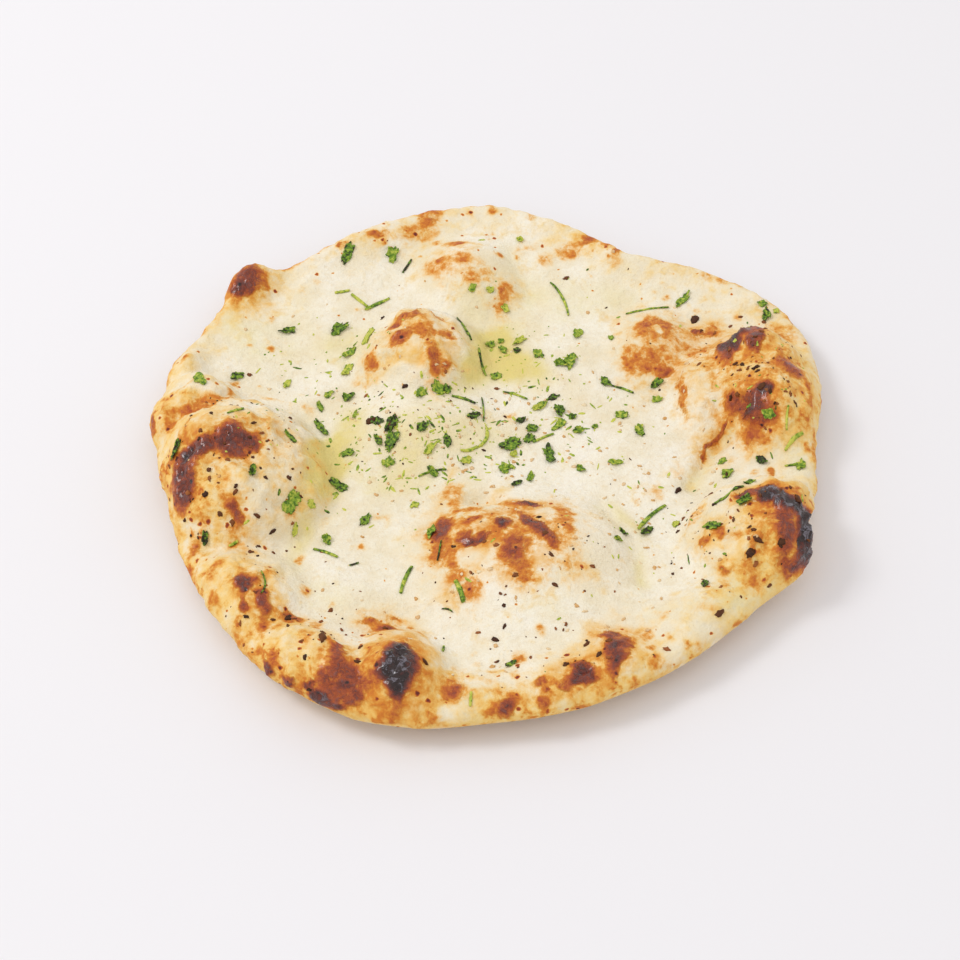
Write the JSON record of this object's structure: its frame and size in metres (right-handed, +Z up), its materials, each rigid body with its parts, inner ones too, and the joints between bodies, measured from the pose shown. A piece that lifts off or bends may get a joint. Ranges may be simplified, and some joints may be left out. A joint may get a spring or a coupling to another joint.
{
  "type": "naan bread",
  "caption": "Round leavened flatbread with a puffed, uneven, scorched rim, blown domes in its face and chopped coriander pressed into it, flat underneath.",
  "frame": {"origin": "on the surface the bread lies on, under the middle of its outline", "axes": "+Z up through the bread, +X to the right and +Y to the back as the bread is usually seen, with the widest char along the left and right rims"},
  "size_m": [0.2485, 0.2541, 0.0318],
  "materials": {
    "baked_dough": "matt baked dough, pale cream with golden to near-black scorched spots and a light buttery sheen"
  },
  "bodies": {
    "root": {"naan": "baked_dough"}
  },
  "joints": []
}
